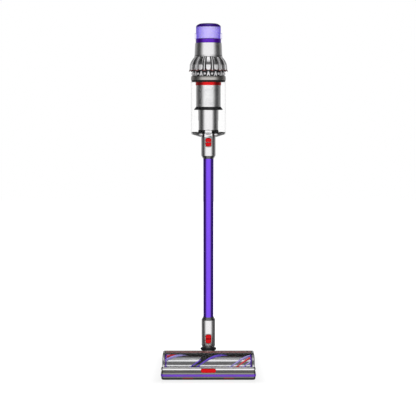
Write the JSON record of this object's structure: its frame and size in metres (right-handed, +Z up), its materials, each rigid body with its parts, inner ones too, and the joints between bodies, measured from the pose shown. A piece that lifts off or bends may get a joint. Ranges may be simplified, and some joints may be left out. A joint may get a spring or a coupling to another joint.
{
  "type": "cordless stick vacuum",
  "caption": "Cordless stick vacuum standing on its powered cleaner head, with a clear in-line bin, radial cyclones, a rear handle and battery, and a violet wand.",
  "frame": {"origin": "on the floor under the wand's axis, centred in the object's footprint", "axes": "+Z up along the wand, -Y towards the head's window and the release buttons, +X to the side where the brush bar slides out"},
  "size_m": [0.3366, 0.3, 1.251],
  "materials": {
    "nickel_plastic": "nickel-grey metallic pigment, satin",
    "graphite_plastic": "fine-textured dark grey",
    "black_gloss": "gloss black",
    "violet_plastic": "saturated violet, gloss",
    "violet_dark": "deep indigo, gloss",
    "lilac_clear": "translucent lilac",
    "violet_anodised": "violet anodised, brushed",
    "red_plastic": "signal red, semi-gloss",
    "copper_plastic": "dark copper-red metallic",
    "clear_plastic": "clear, polished",
    "roller_grey": "metallic grey, gloss",
    "nylon_bristle": "soft nylon filament",
    "carbon_fibre": "carbon fibre filament",
    "steel": "plain machined steel",
    "aluminium": "machined",
    "black_rubber": "matt moulded rubber",
    "filter_paper": "pleated glass-fibre paper",
    "screen": "gloss black panel"
  },
  "bodies": {
    "head": {"head_housing": "nickel_plastic", "roller_window": "clear_plastic", "front_bumper": "graphite_plastic", "bumper_stripe": "violet_plastic", "sole_plate": "graphite_plastic", "sole_strip": "black_rubber", "side_cap_left": "graphite_plastic", "side_cap_right": "graphite_plastic", "neck_cradle": "graphite_plastic", "wheel_axle": "steel", "brush_motor": "aluminium", "head_screws": "steel", "neck_pins": "steel"},
    "slider": {"suction_slider": "red_plastic", "gate_shutters": "red_plastic"},
    "brush_carrier": {"bearing_carrier": "graphite_plastic"},
    "brush_lock": {"end_cap_lock": "graphite_plastic"},
    "drive": {"drive_dog": "graphite_plastic"},
    "brush_bar": {"brush_core": "roller_grey", "carbon_bands": "carbon_fibre", "soft_strips": "nylon_bristle", "brush_end_rings": "violet_plastic"},
    "wheel_left": {"rear_wheel_left": "graphite_plastic"},
    "wheel_right": {"rear_wheel_right": "graphite_plastic"},
    "sole_rollers": {"sole_rollers": "graphite_plastic"},
    "neck": {"neck_elbow": "black_gloss"},
    "swivel": {"neck_spigot": "nickel_plastic"},
    "wand": {"wand_tube": "violet_anodised", "wand_lower_collar": "nickel_plastic", "wand_upper_collar": "nickel_plastic"},
    "lower_button": {"lower_release_button": "red_plastic"},
    "upper_button": {"upper_release_button": "red_plastic"},
    "door": {"bin_door": "black_gloss", "inlet_spigot": "nickel_plastic", "door_seal": "black_rubber", "door_hinge_pin": "steel"},
    "bin": {"bin_cylinder": "clear_plastic"},
    "main": {"bin_collar": "nickel_plastic", "shroud": "nickel_plastic", "shroud_ring": "red_plastic", "shroud_skirt": "black_rubber", "dust_column": "nickel_plastic", "column_seal": "black_rubber", "cyclone_cones": "nickel_plastic", "cyclone_core": "black_gloss", "cyclone_fin_ring": "copper_plastic", "motor_housing": "nickel_plastic", "motor_can": "steel", "handle_grip": "graphite_plastic", "battery_case": "graphite_plastic", "battery_screws": "steel", "display": "screen"},
    "trigger": {"trigger": "red_plastic"},
    "impeller": {"impeller": "aluminium"},
    "bin_lever": {"bin_lever": "red_plastic"},
    "mode_button": {"mode_button": "violet_plastic"},
    "filter_base": {"filter_ring": "violet_plastic"},
    "filter": {"filter_media": "filter_paper", "filter_cage": "lilac_clear", "filter_cap": "violet_dark"}
  },
  "joints": [
    {"name": "slider_slide", "type": "slide", "parent": "head", "child": "slider", "axis": [1, 0, 0], "range_m": [-0.012, 0.012]},
    {"name": "brush_pull", "type": "slide", "parent": "head", "child": "brush_carrier", "axis": [1, 0, 0], "range_m": [0, 0.32]},
    {"name": "lock_turn", "type": "hinge", "parent": "brush_carrier", "child": "brush_lock", "pos_m": [0, -0.095, 0.041], "axis": [1, 0, 0], "range_deg": [0, 60]},
    {"name": "brush_spin", "type": "hinge", "parent": "brush_carrier", "child": "brush_bar", "pos_m": [0, -0.095, 0.041], "axis": [1, 0, 0], "continuous": true},
    {"name": "drive_spin", "type": "hinge", "parent": "head", "child": "drive", "pos_m": [0, -0.095, 0.041], "axis": [1, 0, 0], "continuous": true},
    {"name": "wheel_left_spin", "type": "hinge", "parent": "head", "child": "wheel_left", "pos_m": [0, 0.03, 0.019], "axis": [1, 0, 0], "continuous": true},
    {"name": "wheel_right_spin", "type": "hinge", "parent": "head", "child": "wheel_right", "pos_m": [0, 0.03, 0.019], "axis": [1, 0, 0], "continuous": true},
    {"name": "sole_roller_spin", "type": "hinge", "parent": "head", "child": "sole_rollers", "pos_m": [0, -0.05, 0.0063], "axis": [1, 0, 0], "continuous": true},
    {"name": "neck_tilt", "type": "hinge", "parent": "head", "child": "neck", "pos_m": [0, 0, 0.046], "axis": [-1, 0, 0], "range_deg": [0, 80]},
    {"name": "neck_swivel", "type": "hinge", "parent": "neck", "child": "swivel", "pos_m": [0, 0, 0.085], "axis": [0, 0, 1], "range_deg": [-90, 90]},
    {"name": "wand_lift", "type": "slide", "parent": "swivel", "child": "wand", "axis": [0, 0, 1], "range_m": [0, 0.06]},
    {"name": "lower_button_press", "type": "slide", "parent": "wand", "child": "lower_button", "axis": [0, 1, 0], "range_m": [0, 0.0025], "stiffness_N_per_m": 800},
    {"name": "upper_button_press", "type": "slide", "parent": "wand", "child": "upper_button", "axis": [0, 1, 0], "range_m": [0, 0.0025], "stiffness_N_per_m": 800},
    {"name": "body_lift", "type": "slide", "parent": "wand", "child": "door", "axis": [0, 0, 1], "range_m": [0, 0.06]},
    {"name": "door_hinge", "type": "hinge", "parent": "door", "child": "bin", "pos_m": [0, 0.068, 0.866], "axis": [-1, 0, 0], "range_deg": [0, 75]},
    {"name": "bin_lift", "type": "slide", "parent": "bin", "child": "main", "axis": [0, 0, 1], "range_m": [0, 0.2]},
    {"name": "bin_lever_pull", "type": "slide", "parent": "main", "child": "bin_lever", "axis": [0, 0, -1], "range_m": [0, 0.014], "stiffness_N_per_m": 400},
    {"name": "trigger_pull", "type": "hinge", "parent": "main", "child": "trigger", "pos_m": [0, 0.119, 1.124], "axis": [1, 0, 0], "range_deg": [0, 10], "stiffness_Nm_per_rad": 0.5},
    {"name": "mode_button_press", "type": "slide", "parent": "main", "child": "mode_button", "axis": [0, 0, -1], "range_m": [0, 0.001], "stiffness_N_per_m": 800},
    {"name": "filter_lift", "type": "slide", "parent": "main", "child": "filter_base", "axis": [0, 0, 1], "range_m": [0, 0.07]},
    {"name": "filter_twist", "type": "hinge", "parent": "filter_base", "child": "filter", "pos_m": [0, 0, 1.2], "axis": [0, 0, 1], "range_deg": [0, 30]},
    {"name": "impeller_spin", "type": "hinge", "parent": "main", "child": "impeller", "pos_m": [0, 0, 1.16], "axis": [0, 0, 1], "continuous": true}
  ],
  "couplings": [
    {"joint": "drive_spin", "follows": "brush_spin", "ratio": 1}
  ]
}
